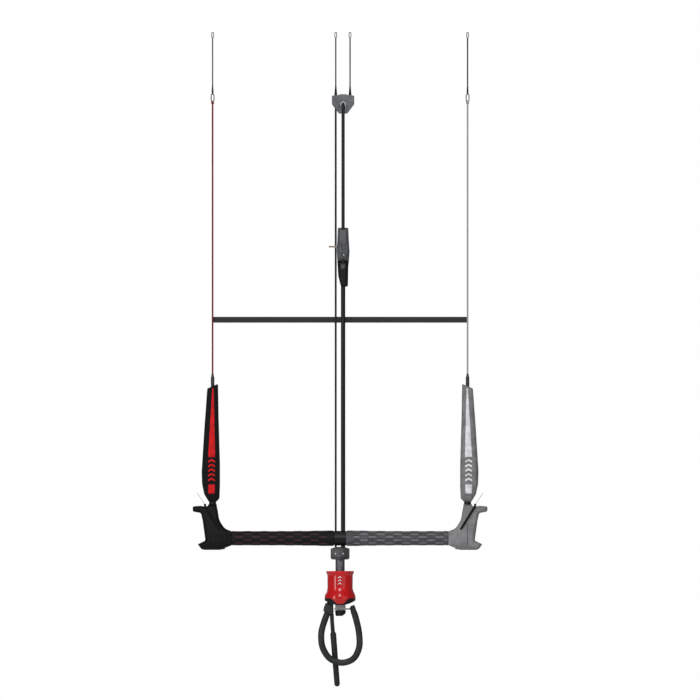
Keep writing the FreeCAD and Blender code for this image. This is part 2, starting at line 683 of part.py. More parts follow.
def release_spring():
    """Coil spring between the collar and the sleeve's shoulder."""
    wire_r, coil_r, turns = 0.7, 14.0, 6
    low, high = SHOULDER_Z + wire_r, COLLAR_Z - 3 - wire_r
    pitch = (high - low) / turns
    helix = Part.makeHelix(pitch, high - low, coil_r)
    circle = Part.Circle(V(coil_r, 0, 0), Y_AXIS, wire_r).toShape()
    coil = Part.Wire(helix.Edges).makePipeShell([Part.Wire(circle)], True, True)
    coil = coil if coil.Solids else Part.Solid(coil)
    coil.translate(V(0, 0, low))
    return coil


def leash_saddle():
    """Bright saddle under the core with the bore of the release pin."""
    body = front_prism([
        (-8.6, CORE_LOW, 0), (9.6, CORE_LOW, 0), (10.4, SADDLE_LOW, 1.5), (-9.0, SADDLE_LOW, 1.5),
    ], -7.0, 7.0)
    return body.cut(rod((-20, 0, PIN_Z), (30, 0, PIN_Z), PIN_R + SLACK))


def core_plug():
    """Rubber bung below the saddle."""
    plug = turned([
        (0, SADDLE_LOW), (9.4, SADDLE_LOW), (9.6, SADDLE_LOW - 1.4), (8.6, PLUG_LOW + 1),
        (7.4, PLUG_LOW), (0, PLUG_LOW),
    ], 0.6)
    return plug.common(swing_cylinder(TIP_SWING_R - GAP))


def release_unit():
    return {
        "swivel_shaft": swivel_shaft(),
        "bearing_balls": bearing_balls(),
        "release_core": release_core(),
        "loop_pin": loop_pin(),
        "release_spring": release_spring(),
        "pin_saddle": leash_saddle(),
        "core_plug": core_plug(),
    }


def sleeve_solid():
    """Whole push sleeve with its rubber lip, before the two are parted."""
    top = SLEEVE_TOP
    body = turned([
        (SLEEVE_BORE, top), (24.2, top), (24.8, top - 1.6), (24.0, top - 4.4), (22.4, top - 7.6),
        (22.2, top - 30.4), (23.2, top - 35), (25.6, top - 39.9), (27.2, top - 44.5), (27.4, top - 49),
        (27.0, top - 53), (26.2, top - 58), (25.6, top - 61), (24.3, top - 61), (24.3, top - 45),
        (22.4, top - 42), (12.2, SHOULDER_Z - 2.8), (12.2, SHOULDER_Z),
        (SLEEVE_BORE, SHOULDER_Z),
    ])
    arc_r = 47.6
    return body.common(Part.makeCylinder(arc_r, 80, V(0, -40, SLEEVE_BOTTOM + arc_r), Y_AXIS))


def sleeve():
    """Red shell above a wavy parting line and the black rubber lip below it."""
    whole = sleeve_solid()
    wave = [(-40, -1000.0), (-27.4, -1000.0), (-19, -999.8), (-11, -1004.2), (-6, -1009.2), (0, -1010.2),
            (6, -1009.2), (11, -1004.2), (19, -999.8), (27.4, -1000.0), (40, -1000.0)]
    curve = Part.BSplineCurve()
    curve.interpolate([V(x, -40, z) for x, z in wave])
    low = -1020.0
    frame = Part.makePolygon([V(40, -40, -1000), V(40, -40, low), V(-40, -40, low), V(-40, -40, -1000)])
    below = Part.Face(Part.Wire([curve.toShape()] + frame.Edges)).extrude(V(0, 80, 0))
    return {"release_sleeve": whole.cut(below), "sleeve_lip": whole.common(below)}


def release_pin():
    """Rod along X whose tip lies in the fork of the loop's free end."""
    return rod((-10.4, 0, PIN_Z), (21.5, 0, PIN_Z), PIN_R)


# ---- harness loop and stick ----
LOOP_ROUTE = [
    (-20.2, 0, -1020.0), (-27.6, 0, -1039.0), (-33.8, 0, -1060.0), (-32.6, 0, -1085.0),
    (-19.5, 0, -1107.0), (4.0, 0, -1115.0), (25.4, 0, -1107.0), (35.2, 0, -1085.0),
    (33.4, 0, -1057.0), (27.2, 0, -1032.0), (20.6, 0, -1012.4),
]


def loop_root():
    """Hard eye on the pivot pin, with the shank that the boot is moulded round."""
    px, pz = LOOP_PIVOT
    eye = rod((px, -4, pz), (px, 4, pz), 5.6)
    shank = front_prism([(px - 5, pz, 0), (px + 5, pz, 0), (px + 3.5, -1013, 0), (px - 7, -1013, 0)], -4, 4)
    return eye.fuse(shank).cut(rod((px, -5, pz), (px, 5, pz), LOOP_PIN_R + SLACK))


def loop_boot():
    """Rubber boot that joins the loop's fixed end and the top of the stick."""
    body = front_prism([
        (-25.6, -1007.6, 2.5), (-12.2, -1007.6, 2.5), (-11.2, -1025.6, 2), (-17, -1026.4, 1.5),
        (-29.6, -1023.2, 2), (-29.0, -1016, 6),
    ], -8.4, 8.4)
    body = body.common(top_prism([
        (-31, -8.4, 5), (-10.5, -8.4, 5), (-10.5, 8.4, 5), (-31, 8.4, 5),
    ], -1030, -1000))
    socket = cylinder(2.6 + SLACK, -1030, -1016.5, *STICK_AXIS)
    return body.cut(socket)


def harness_loop():
    boot, root = loop_boot(), loop_root()
    tube = cord(LOOP_ROUTE, LOOP_D, "harness_loop")
    fork = front_prism([
        (14, -1005, 0), (40, -1005, 0), (40, -1022.4, 0), (14, -1022.4, 0),
    ], -1.7, 1.7)
    tip_side = block(0, 40, -10, 10, -1040, -1000)
    stick_room = cylinder(4.2, -1045, -1010, *STICK_AXIS)
    tube = tube.cut(boot).cut(fork).cut(stick_room).cut(swing_cylinder(TIP_SWING_R + GAP).common(tip_side))
    return {"harness_loop": tube, "loop_boot": boot.cut(root), "loop_root": root}


STICK_ROUTE = [
    (STICK_AXIS[0], STICK_AXIS[1], -1026.9), (-14.2, 2.6, -1040.0), (-12.2, 8.2, -1064.0),
]


def stick():
    """Rubber stick that keeps the hook in the loop: a peg in the boot, a thin neck and a thick end."""
    peg = cylinder(2.6, -1034.0, -1017.0, *STICK_AXIS)
    neck = cord(STICK_ROUTE, 7.2, "stick_neck")
    joint, low = V(-12.2, 8.2, -1062.0), V(-5.3, 14.2, -1150.4)
    way = low - joint
    body = Part.makeCone(5.4, 5.0, way.Length, joint, way)
    shoulder = Part.makeCone(3.8, 5.4, 3.0, joint - way.normalize() * 3.0, way)
    tip = Part.makeSphere(5.0, low)
    return peg.fuse([neck, shoulder, body, tip]).removeSplitter()


# ---- assembly ----
def all_nodes():
    nodes = {**front_lines(), **joining_block(), "trim_line": trim_line(), "flag_line": flag_line()}
    nodes |= centre_line()
    nodes |= trim_handle()
    nodes |= {"line_guide": line_guide()}
    nodes |= bar()
    nodes |= side("left")
    nodes |= side("right")
    nodes |= {"cross_strap": cross_strap()}
    nodes |= release_unit()
    nodes |= sleeve()
    nodes |= {"release_pin": release_pin()}
    nodes |= harness_loop()
    nodes |= {"hook_stick": stick()}
    return nodes


os.makedirs("parts", exist_ok=True)
for node, shape in all_nodes().items():
    solids = shape.Solids
    state = "ok" if solids and all(s.isValid() and s.isClosed() for s in solids) else "BAD"
    print(f"{node}: {len(solids)} solids, {shape.Volume / 1000:.2f} cm3, {state}")
    shape.exportStep(f"parts/{node}.step")
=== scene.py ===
"""Looks of the kitesurf control bar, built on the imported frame.

Metres, +Z towards the kite, +X along the bar, -Y the front. Points are written in millimetres.
"""
import math

import bpy
from mathutils import Matrix, Vector
from mathutils.bvhtree import BVHTree
from mathutils.kdtree import KDTree


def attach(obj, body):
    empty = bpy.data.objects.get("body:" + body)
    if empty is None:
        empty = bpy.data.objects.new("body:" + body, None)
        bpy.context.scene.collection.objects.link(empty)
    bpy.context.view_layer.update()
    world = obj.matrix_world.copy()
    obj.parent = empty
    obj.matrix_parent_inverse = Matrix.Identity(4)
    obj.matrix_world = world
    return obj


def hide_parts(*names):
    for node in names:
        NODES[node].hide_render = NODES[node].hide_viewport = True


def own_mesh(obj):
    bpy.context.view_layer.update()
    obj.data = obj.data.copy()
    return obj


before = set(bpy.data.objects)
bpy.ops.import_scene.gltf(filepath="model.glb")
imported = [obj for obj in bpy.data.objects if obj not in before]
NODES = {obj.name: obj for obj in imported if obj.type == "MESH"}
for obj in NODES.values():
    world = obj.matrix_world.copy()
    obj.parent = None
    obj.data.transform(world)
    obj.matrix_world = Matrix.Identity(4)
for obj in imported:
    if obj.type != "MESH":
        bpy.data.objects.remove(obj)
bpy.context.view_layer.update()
MM = 0.001

# ---- places shared with the CAD model, in millimetres ----
LEADER_X = 225.0
FRONT_X = (-7.6, 17.6)
FLAG_X = -7.7
TUBE_X = 5.3
SPLICE_TOP = -93.5
LINE_EYE_LOW = -11.0
BLOCK_TOP = -109.8
EYE_Z = -126.9
FLAG_TOP = -131.0
ROPE_BEND_R = 7.2
TRIM_REAR_Y = 4.0
LEADER_TOP = -125.0
FLOAT_TOP = -620.8
STRAP_Z = -507.9
CLEAT_TOP = -345.4
CLEAT_BOTTOM = -404.0
HANDLE_TOP = -404.3
BAR_Z = -893.5
GRIP_R = 12.8
HUB_R = 14.0
GRIP_END = 191.3
BARREL_TOP = -908.6
BARREL_BOTTOM = -931.2
LINES_LOW = BARREL_TOP - 3.5
HANDLE_TRAVEL = 240.0
TILT = math.radians(10.0)
BARREL_R = 16.8
BARREL_DOME_R = 45.0

# Cord diameters in millimetres. The flying lines and the flag line are drawn 0.4 over their CAD
# solids, so that they look as thick as in the photograph.
FLYING_D = 2.4
LEADER_D = 3.0
TRIM_D = 6.0
TRIM_TAIL_D = 5.2
FLAG_D = 3.6
SHEATH_D = 7.8
KEEPER_D = 3.8

RAY_START = 60.0        # in front of or behind every piece that a ray is cast at
OUTLINE_STEP = 1.2      # how far outwards the front view's outline is felt for

# ---- the studio, in metres ----
CAMERA_X, CAMERA_Z = 0.0175, -0.5613
CAMERA_AWAY = 4.0
CAMERA_SPAN = 1.2355
FLOOR_Z = -1.3
FLOOR_HALF = 4
LIT_PLACE = (0, 0, -0.6)
LIGHTS = {              # place, width and height, power
    "front": ((-0.2, -3.3, 0.8), (0.8, 1.2), 48),
    "key": ((-2.0, -2.0, -0.5), (0.35, 1.8), 20),
    "fill": ((1.6, -2.4, -0.7), (1.4, 1.8), 7),
    "top": ((0.2, -0.8, 1.6), (1.6, 1.0), 10),
    "back": ((-0.6, 2.6, 0.3), (2.0, 1.6), 20),
}


# ---- camera, light and floor ----
def aim(obj, target):
    """Turns a camera or light towards a place."""
    obj.rotation_euler = (Vector(target) - obj.location).to_track_quat("-Z", "Y").to_euler()


def add_camera():
    """Straight on to the front, framed as in the photograph."""
    data = bpy.data.cameras.new("camera")
    data.type = "ORTHO"
    data.ortho_scale = CAMERA_SPAN
    camera = bpy.data.objects.new("camera", data)
    camera.location = (CAMERA_X, -CAMERA_AWAY, CAMERA_Z)
    bpy.context.collection.objects.link(camera)
    aim(camera, (CAMERA_X, 0, CAMERA_Z))
    bpy.context.scene.camera = camera


def add_light(name, place, size, power):
    """Rectangular lamp turned towards the middle of the bar."""
    data = bpy.data.lights.new(name, "AREA")
    data.shape = "RECTANGLE"
    data.size, data.size_y = size
    data.energy = power
    light = bpy.data.objects.new(name, data)
    light.location = place
    bpy.context.collection.objects.link(light)
    aim(light, LIT_PLACE)


def add_world():
    """White to the camera, a dim even grey to the object."""
    world = bpy.data.worlds.new("studio")
    bpy.context.scene.world = world
    world.use_nodes = True
    nodes, links = world.node_tree.nodes, world.node_tree.links
    seen, lit = nodes["Background"], nodes.new("ShaderNodeBackground")
    seen.inputs["Color"].default_value = (1, 1, 1, 1)
    lit.inputs["Color"].default_value = (0.9, 0.95, 1, 1)
    lit.inputs["Strength"].default_value = 0.14
    path, mix = nodes.new("ShaderNodeLightPath"), nodes.new("ShaderNodeMixShader")
    links.new(path.outputs["Is Camera Ray"], mix.inputs[0])
    links.new(lit.outputs[0], mix.inputs[1])
    links.new(seen.outputs[0], mix.inputs[2])
    links.new(mix.outputs[0], nodes["World Output"].inputs["Surface"])


def add_floor():
    """Pale plain floor below the loop, which is stage and not part of the object."""
    h, z = FLOOR_HALF, FLOOR_Z
    mesh = bpy.data.meshes.new("floor")
    mesh.from_pydata([(-h, -h, z), (h, -h, z), (h, h, z), (-h, h, z)], [], [(0, 1, 2, 3)])
    floor = bpy.data.objects.new("floor", mesh)
    pale = Surface("floor_pale", Base_Color=(0.86, 0.86, 0.86, 1), Roughness=0.9)
    mesh.materials.append(pale.material)
    bpy.context.collection.objects.link(floor)


# ---- materials ----
def srgb(red, green, blue):
    """Colour from 0-255 screen values."""
    channels = (c / 255 for c in (red, green, blue))
    return tuple(c / 12.92 if c <= 0.04045 else ((c + 0.055) / 1.055) ** 2.4 for c in channels) + (1.0,)


class Surface:
    """A Principled material with helpers for its procedural detail."""

    def __init__(self, name, **sockets):
        self.material = bpy.data.materials.new(name)
        self.material.use_nodes = True
        self.tree = self.material.node_tree
        self.shader = self.tree.nodes["Principled BSDF"]
        self.place = self.node("TexCoord").outputs["Object"]
        self.bumps = None
        for key, value in sockets.items():
            self.shader.inputs[key.replace("_", " ")].default_value = value

    def node(self, kind, settings=None, inputs=None):
        made = self.tree.nodes.new("ShaderNode" + kind)
        for key, value in (settings or {}).items():
            setattr(made, key, value)
        for key, value in (inputs or {}).items():
            if isinstance(value, bpy.types.NodeSocket):
                self.tree.links.new(value, made.inputs[key])
            else:
                made.inputs[key].default_value = value
        return made

    def link(self, value, socket):
        self.tree.links.new(value, self.shader.inputs[socket])

    def noise(self, per_mm, detail=3.0, rough=0.55, stretch=(1, 1, 1)):
        """Noise of so many features a millimetre, from 0 to 1."""
        scaled = self.node("Mapping", inputs={"Vector": self.place, "Scale": stretch})
        made = self.node("TexNoise", inputs={
            "Vector": scaled.outputs[0], "Scale": per_mm / MM, "Detail": detail, "Roughness": rough})
        return made.outputs[0]

    def cells(self, per_mm):
        """Distance to the nearest point of a cell pattern."""
        made = self.node("TexVoronoi", inputs={"Vector": self.place, "Scale": per_mm / MM})
        return made.outputs["Distance"]

    def ramp(self, value, low, high, to_low=0.0, to_high=1.0):
        made = self.node("MapRange", {"interpolation_type": "SMOOTHSTEP"}, {
            "Value": value, "From Min": low, "From Max": high, "To Min": to_low, "To Max": to_high})
        return made.outputs[0]

    def math(self, operation, *values):
        return self.node("Math", {"operation": operation}, dict(enumerate(values))).outputs[0]

    def mix(self, factor, first, second):
        made = self.node("Mix", {"data_type": "RGBA"}, {0: factor, 6: first, 7: second})
        return made.outputs[2]

    def bump(self, height, depth_mm):
        inputs = {"Height": height, "Distance": depth_mm * MM, "Strength": 1.0}
        if self.bumps:
            inputs["Normal"] = self.bumps
        self.bumps = self.node("Bump", inputs=inputs).outputs[0]
        self.link(self.bumps, "Normal")


def dimmer(colour, share):
    """The colour times a share, which brightens it above 1."""
    return tuple(c * share for c in colour[:3]) + (1.0,)


def moulded(name, colour, rough=0.5, grain=2.2, depth=0.03, spread=0.25, **sockets):
    """Moulded plastic or rubber: fine spark grain, cloudy tone and a few paler scuffs."""
    s = Surface(name, **{"Specular_IOR_Level": 0.25, **sockets})
    cloud = s.ramp(s.noise(0.05, 4), 0.35, 0.65)
    body = s.mix(cloud, dimmer(colour, 1 - spread), dimmer(colour, 1 + spread))
    scuff = s.ramp(s.noise(0.35, 6, 0.7, (1, 1, 0.25)), 0.62, 0.72)
    worn = s.mix(s.math("MULTIPLY", scuff, 0.35), body, dimmer(colour, 2.2))
    fine = s.noise(grain, 2)
    s.link(s.mix(s.ramp(fine, 0.3, 0.7, 0, 0.3), worn, dimmer(colour, 0.5)), "Base Color")
    s.link(s.math("MULTIPLY_ADD", s.noise(0.4, 5), 0.22, rough - 0.11), "Roughness")
    s.bump(fine, depth)
    return s


def metal(name, colour, rough, brushed=(1, 1, 1), scratch=0.012, metallic=1.0):
    """Metal with brushing along one axis, smudges and fine scratches."""
    s = Surface(name, Metallic=metallic)
    lines = s.noise(1.2, 3, 0.6, brushed)
    s.link(s.mix(s.ramp(lines, 0.3, 0.7), dimmer(colour, 0.82), colour), "Base Color")
    s.link(s.ramp(s.noise(0.25, 5), 0.3, 0.7, rough * 0.75, rough * 1.4), "Roughness")
    s.bump(lines, scratch)
    return s


def braided(name, colour, tracer=None, rough=0.62, groove_shade=0.3):
    """Braided rope: strands read from the mesh's relief, with painted shade darkening the hollows between
    them, and fibre grain.
    """
    s = Surface(name, Sheen_Weight=0.05, Sheen_Roughness=0.5, Specular_IOR_Level=0.2)
    relief = s.node("Attribute", {"attribute_name": "relief"}).outputs["Fac"]
    hand = s.node("Attribute", {"attribute_name": "hand"}).outputs["Fac"]
    lit = s.mix(hand, colour, tracer or dimmer(colour, 0.75))
    fibres = s.noise(6.0, 2, 0.5, (1, 1, 0.35))
    lit = s.mix(s.ramp(fibres, 0.3, 0.7, 0, 0.35), lit, dimmer(colour, 0.55))
    # painted shade: where the relief is low, between the strands, the colour darkens to a share of itself
    s.link(s.mix(s.ramp(relief, 0.0, 0.75), dimmer(colour, groove_shade), lit), "Base Color")
    s.link(s.ramp(relief, 0.0, 1.0, rough + 0.2, rough), "Roughness")
    s.bump(fibres, 0.05)
    return s


def foam(name, colour, rough=0.85):
    """Closed-cell foam: pores, darkened with painted shade, a faint skin and a cloudy tone."""
    s = Surface(name, Sheen_Weight=0.03, Sheen_Roughness=0.6, Specular_IOR_Level=0.15)
    pores = s.cells(1.1)
    cloud = s.ramp(s.noise(0.08, 4), 0.35, 0.65)
    body = s.mix(cloud, dimmer(colour, 0.82), dimmer(colour, 1.15))
    speck = s.ramp(s.noise(1.6, 3), 0.56, 0.7, 0, 0.5)
    body = s.mix(speck, body, dimmer(colour, 1.9))
    # painted shade: the colour darkens towards the middle of each pore, where a pit would hold shade
    s.link(s.mix(s.ramp(pores, 0.0, 0.35, 0.6, 0.0), body, dimmer(colour, 0.4)), "Base Color")
    s.link(s.ramp(s.noise(0.5, 4), 0.3, 0.7, rough - 0.12, rough + 0.08), "Roughness")
    s.bump(pores, 0.10)
    s.bump(s.noise(0.35, 3), 0.12)
    return s


def grip_foam(name, colour, dash, rough=0.62):
    """Grip foam whose embossed dashes are tinted through the mesh's dash attribute."""
    s = Surface(name, Sheen_Weight=0.03, Specular_IOR_Level=0.2)
    mark = s.node("Attribute", {"attribute_name": "dash"}).outputs["Fac"]
    worn = s.noise(0.18, 5, 0.65, (0.35, 1, 1))
    body = s.mix(s.ramp(worn, 0.35, 0.65), dimmer(colour, 0.7), dimmer(colour, 1.3))
    inked = s.mix(s.ramp(s.noise(0.9, 3), 0.35, 0.7, 0, 0.5), dash, dimmer(dash, 0.6))
    s.link(s.mix(mark, body, inked), "Base Color")
    s.link(s.ramp(worn, 0.3, 0.7, rough - 0.12, rough + 0.12), "Roughness")
    s.bump(s.cells(1.6), 0.05)
    return s


def webbing(name, colour):
    """Flat woven tape: weft ribs across it and a fine warp along it, with painted shade in the hollows of the
    weave.
    """
    s = Surface(name, Roughness=0.78, Sheen_Weight=0.05, Specular_IOR_Level=0.2)
    warp = s.node("TexWave", {"bands_direction": "Z"}, {"Vector": s.place, "Scale": 0.42 / MM}).outputs["Fac"]
    weft = s.node("TexWave", {"bands_direction": "X"}, {"Vector": s.place, "Scale": 0.2 / MM}).outputs["Fac"]
    weave = s.math("MULTIPLY", warp, weft)
    body = s.mix(s.ramp(s.noise(0.06, 4), 0.3, 0.7), dimmer(colour, 0.85), dimmer(colour, 1.15))
    # painted shade: where the weave is low, between ribs and warp, the colour darkens
    s.link(s.mix(weave, dimmer(colour, 0.45), body), "Base Color")
    s.bump(weave, 0.16)
    return s


M = {
    "line_black": braided("line_black", srgb(14, 14, 15), groove_shade=0.7),
    "line_grey": braided("line_grey", srgb(104, 104, 106)),
    "splice": braided("splice_cover", srgb(16, 16, 17)),
    "leader_red": braided("leader_red", srgb(128, 12, 15), srgb(112, 10, 13), groove_shade=0.6),
    "leader_grey": braided("leader_grey", srgb(175, 175, 177), srgb(158, 158, 160), groove_shade=0.55),
    "trim_rope": braided("trim_rope", srgb(32, 32, 34), srgb(52, 52, 55), groove_shade=0.45),
    "flag_rope": braided("flag_rope", srgb(30, 30, 31), srgb(38, 38, 40), groove_shade=0.5),
    "sheath": moulded("depower_sheath", srgb(26, 26, 27), 0.36, 0.8, 0.01, 0.15),
    "block": moulded("block_shell", srgb(102, 103, 106), 0.5, 1.6, 0.06),
    # painted reflection: a pale base at low metallic stands in for the metal reflecting its bright
    # surroundings
    "bright": metal("bright_metal", (0.9, 0.9, 0.91, 1), 0.2, scratch=0.001, metallic=0.3),
    "steel": metal("brushed_steel", (0.5, 0.5, 0.51, 1), 0.34, (1, 1, 0.15), metallic=0.7),
    "cleat": moulded("cleat_shell", srgb(84, 85, 88), 0.4, 0.8, 0.05, 0.2),
    "saddle": metal("saddle_metal", (0.5, 0.5, 0.51, 1), 0.25, scratch=0.002, metallic=0.4),
    "pin": metal("side_pin", srgb(150, 136, 122), 0.4, metallic=0.5),
    "handle": moulded("handle_rubber", srgb(20, 20, 21), 0.36, 1.4, 0.03),
    "black": moulded("black_plastic", srgb(20, 20, 21), 0.42, 2.0, 0.03),
    "barrel": moulded("barrel_shell", srgb(86, 87, 89), 0.48, 1.1, 0.16, 0.4),
    "stem": metal("stem_alloy", srgb(122, 123, 125), 0.55, (1, 1, 0.12)),
    "alloy": metal("bar_alloy", srgb(190, 190, 193), 0.35, (0.12, 1, 1)),
    "end_black": moulded("end_rubber_black", srgb(15, 15, 16), 0.55, 1.8, 0.05, Specular_IOR_Level=0.16),
    "end_grey": moulded("end_rubber_grey", srgb(136, 136, 137), 0.55, 0.5, 0.14, 0.16),
    # painted shade of the right bar end's parting groove
    "seam_shade": moulded("parting_line_shade", srgb(52, 52, 53), 0.6),
    "grip_black": grip_foam("grip_foam_black", srgb(17, 14, 15), srgb(74, 44, 48)),
    "grip_grey": grip_foam("grip_foam_grey", srgb(80, 80, 83), srgb(136, 135, 139)),
    "float_black": foam("float_foam_black", srgb(17, 18, 18)),
    "float_grey": foam("float_foam_grey", srgb(124, 124, 125)),
    "print_red": foam("float_print_red", srgb(204, 24, 28), 0.7),
    "print_pale": foam("float_print_pale", srgb(226, 226, 227), 0.7),
    "ferrule": moulded("ferrule_plastic", srgb(52, 54, 56), 0.38, 1.5, 0.03),
    "elastic": braided("keeper_elastic", srgb(6, 6, 6), groove_shade=0.7),
    "whisker": moulded("whisker_nylon", srgb(150, 150, 152), 0.45, 2.0, 0.01),
    "strap": webbing("strap_webbing", srgb(70, 70, 72)),
    "red": moulded("release_red", srgb(206, 14, 20), 0.3, 0.25, 0.002, 0.12,
                   Coat_Weight=0.6, Coat_Roughness=0.12),
    "lip": moulded("lip_rubber", srgb(22, 25, 23), 0.42, 1.6, 0.05),
    "loop": moulded("loop_rubber", srgb(46, 48, 49), 0.42, 1.2, 0.04),
    "boot": moulded("boot_rubber", srgb(50, 50, 52), 0.5, 0.8, 0.14),
    "stick": moulded("stick_rubber", srgb(44, 44, 46), 0.5, 1.0, 0.08),
}


# ---- mesh helpers ----
def new_object(name, points, faces, material, body, replaces=()):
    """Mesh piece from points in millimetres, tied to its body, slot and the nodes it stands for."""
    mesh = bpy.data.meshes.new(name)
    mesh.from_pydata([Vector(p) * MM for p in points], [], faces)
    mesh.polygons.foreach_set("use_smooth", [True] * len(faces))
    mesh.update()
    obj = bpy.data.objects.new(name, mesh)
    bpy.context.collection.objects.link(obj)
    mesh.materials.append(M[material].material)
    return tie(obj, body, replaces)


def tie(obj, body, replaces=()):
    """Gives a piece its body and hides the CAD nodes that it stands for."""
    if body:
        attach(obj, body)
    if replaces:
        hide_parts(*replaces)
    return obj


def set_attribute(obj, name, values):
    """Stores one number a vertex, for a material to read."""
    obj.data.attributes.new(name, "FLOAT", "POINT").data.foreach_set("value", values)


def skin_of(obj):
    """Tree of a piece's faces, for rays to hit."""
    return BVHTree.FromPolygons([v.co.copy() for v in obj.data.vertices],
                                [tuple(p.vertices) for p in obj.data.polygons])


def nurbs_line(points):
    """Dense points, in millimetres, along one smooth open NURBS spline through a route."""
    curve = bpy.data.curves.new("route", "CURVE")
    curve.dimensions = "3D"
    curve.resolution_u = 24
    spline = curve.splines.new("NURBS")
    spline.points.add(len(points) - 1)
    for control, place in zip(spline.points, points):
        control.co = (*place, 1)
    spline.order_u = 3
    spline.use_endpoint_u = True
    route = bpy.data.objects.new("route", curve)
    mesh = bpy.data.meshes.new_from_object(route)
    line = [v.co.copy() for v in mesh.vertices]
    bpy.data.objects.remove(route)
    return line


def even_line(line, step):
    """The same line with its points a fixed distance apart."""
    lengths = [0.0]
    for a, b in zip(line, line[1:]):
        lengths.append(lengths[-1] + (b - a).length)
    count = max(2, round(lengths[-1] / step))
    made, at = [], 0
    for i in range(count + 1):
        want = lengths[-1] * i / count
        while at < len(lengths) - 2 and lengths[at + 1] < want:
            at += 1
        span = max(lengths[at + 1] - lengths[at], 1e-9)
        made.append(line[at].lerp(line[at + 1], (want - lengths[at]) / span))
    return made


def tube(name, line, sides, shape, material, body, replaces=(), closed=False):
    """Tube round a line in millimetres; shape(distance, angle) gives its radius, relief and hand."""
    count = len(line)
    tangents = []
    for i in range(count):
        before = line[i - 1] if i or closed else line[0]
        after = line[(i + 1) % count] if i < count - 1 or closed else line[-1]
        tangents.append((after - before).normalized())
    side = tangents[0].orthogonal().normalized()
    points, reliefs, hands, distance = [], [], [], 0.0
    for i, (centre, tangent) in enumerate(zip(line, tangents)):
        side = (side - tangent * side.dot(tangent)).normalized()
        up = tangent.cross(side)
        if i:
            distance += (centre - line[i - 1]).length
        for k in range(sides):
            angle = 2 * math.pi * k / sides
            radius, relief, hand = shape(distance, angle)
            points.append(centre + (side * math.cos(angle) + up * math.sin(angle)) * radius)
            reliefs.append(relief)
            hands.append(hand)
    faces = []
    for i in range(count if closed else count - 1):
        low, high = i * sides, (i + 1) % count * sides
        faces += [(low + k, low + (k + 1) % sides, high + (k + 1) % sides, high + k) for k in range(sides)]
    if not closed:
        faces.append(tuple(range(sides))[::-1])
        faces.append(tuple(range((count - 1) * sides, count * sides)))
    obj = new_object(name, points, faces, material, body, replaces)
    set_attribute(obj, "relief", reliefs)
    set_attribute(obj, "hand", hands)
    return obj


def braid(radius, strands, pitch, depth, taper=None):
    """Shape of a tubular braid whose two hands of strands pass over and under each other."""
    def shape(distance, angle):
        turn, climb = strands * angle / (2 * math.pi), strands * distance / pitch
        right, left = turn + climb, turn - climb
        over = (math.floor(right) + math.floor(left)) % 2
        across, along = (right, left) if over else (left, right)
        crown = math.sin(math.pi * (across % 1)) ** 0.6
        relief = crown * (0.55 + 0.45 * math.sin(math.pi * (along % 1)))
        thick = radius * (taper(distance) if taper else 1)
        return thick - depth * (1 - relief), relief, float(over)
    return shape


def plain(radius):
    """Shape of a smooth round tube."""
    return lambda distance, angle: (radius, 1.0, 0.0)


def rope(name, points, diameter, strands, material, body, replaces, depth):
    """Braided rope along a NURBS route; returns the piece and its centreline in metres."""
    cell = diameter * 4.5 / strands
    line = even_line(nurbs_line(points), cell / 2.6)
    shape = braid(diameter / 2, strands, diameter * 4.5, depth)
    obj = tube(name, line, strands * 3, shape, material, body, replaces)
    return obj, [p * MM for p in line]


def soft_copy(node, name, body, material, voxel, rounds, extra=None):
    """Moulded version of a CAD node: remeshed finely and smoothed, so that its edges are rounded.

    extra moves each vertex, from and to places in millimetres.
    """
    obj = bpy.data.objects.new(name, NODES[node].data.copy())
    bpy.context.collection.objects.link(obj)
    remesh = obj.modifiers.new("remesh", "REMESH")
    remesh.mode = "VOXEL"
    remesh.voxel_size = voxel * MM
    remesh.use_smooth_shade = True
    soften = obj.modifiers.new("soften", "SMOOTH")
    soften.factor = 0.5
    soften.iterations = rounds
    mesh = bpy.data.meshes.new_from_object(obj.evaluated_get(bpy.context.evaluated_depsgraph_get()))
    obj.modifiers.clear()
    obj.data = mesh
    mesh.name = name
    mesh.materials.clear()
    mesh.materials.append(M[material].material)
    if extra:
        for vertex in mesh.vertices:
            vertex.co = extra(vertex.co / MM) * MM
    mesh.polygons.foreach_set("use_smooth", [True] * len(mesh.polygons))
    mesh.update()
    return tie(obj, body, [node])


def pillow(obj, reach, sink, joined_to=0.0):
    """Draws a moulding's front and back in towards its outline, so that its edges round off.

    The end that meets a neighbour, nearer the middle than joined_to, keeps its full depth.
    """
    vertices = obj.data.vertices
    skin = skin_of(obj)

    def on_outline(vertex):
        """True where a small step outwards leaves the front view's outline."""
        x, _, z = vertex.co + vertex.normal * OUTLINE_STEP * MM
        if abs(vertex.co.x) < joined_to * MM or abs(vertex.normal.y) >= 0.4:
            return False
        return skin.ray_cast(Vector((x, RAY_START * MM, z)), Vector((0, -1, 0)))[0] is None

    walls = [v.co for v in vertices if on_outline(v)]
    outline = KDTree(len(walls))
    for index, place in enumerate(walls):
        outline.insert((place.x, 0, place.z), index)
    outline.balance()
    scales = []
    for vertex in vertices:
        away = outline.find((vertex.co.x, 0, vertex.co.z))[2] / MM
        scales.append(1 - sink * max(0.0, 1 - away / reach)**2)
    for vertex, scale in zip(vertices, scales):
        vertex.co.y *= scale
    obj.data.update()


def turned_piece(name, profile, sides, material, body, replaces=(), relief=None):
    """Solid turned piece about the vertical axis from (radius, z) points, with flat ends."""
    points = []
    for r, z in profile:
        for k in range(sides):
            angle = 2 * math.pi * k / sides
            radius = r + (relief(r, z, angle) if relief else 0.0)
            points.append((radius * math.cos(angle), radius * math.sin(angle), z))
    rows = len(profile)
    faces = []
    for i in range(rows - 1):
        a, b = i * sides, (i + 1) * sides
        faces += [(a + k, b + k, b + (k + 1) % sides, a + (k + 1) % sides) for k in range(sides)]
    faces.append(tuple(range(sides)))
    faces.append(tuple(range((rows - 1) * sides, rows * sides))[::-1])
    return new_object(name, points, faces, material, body, replaces)


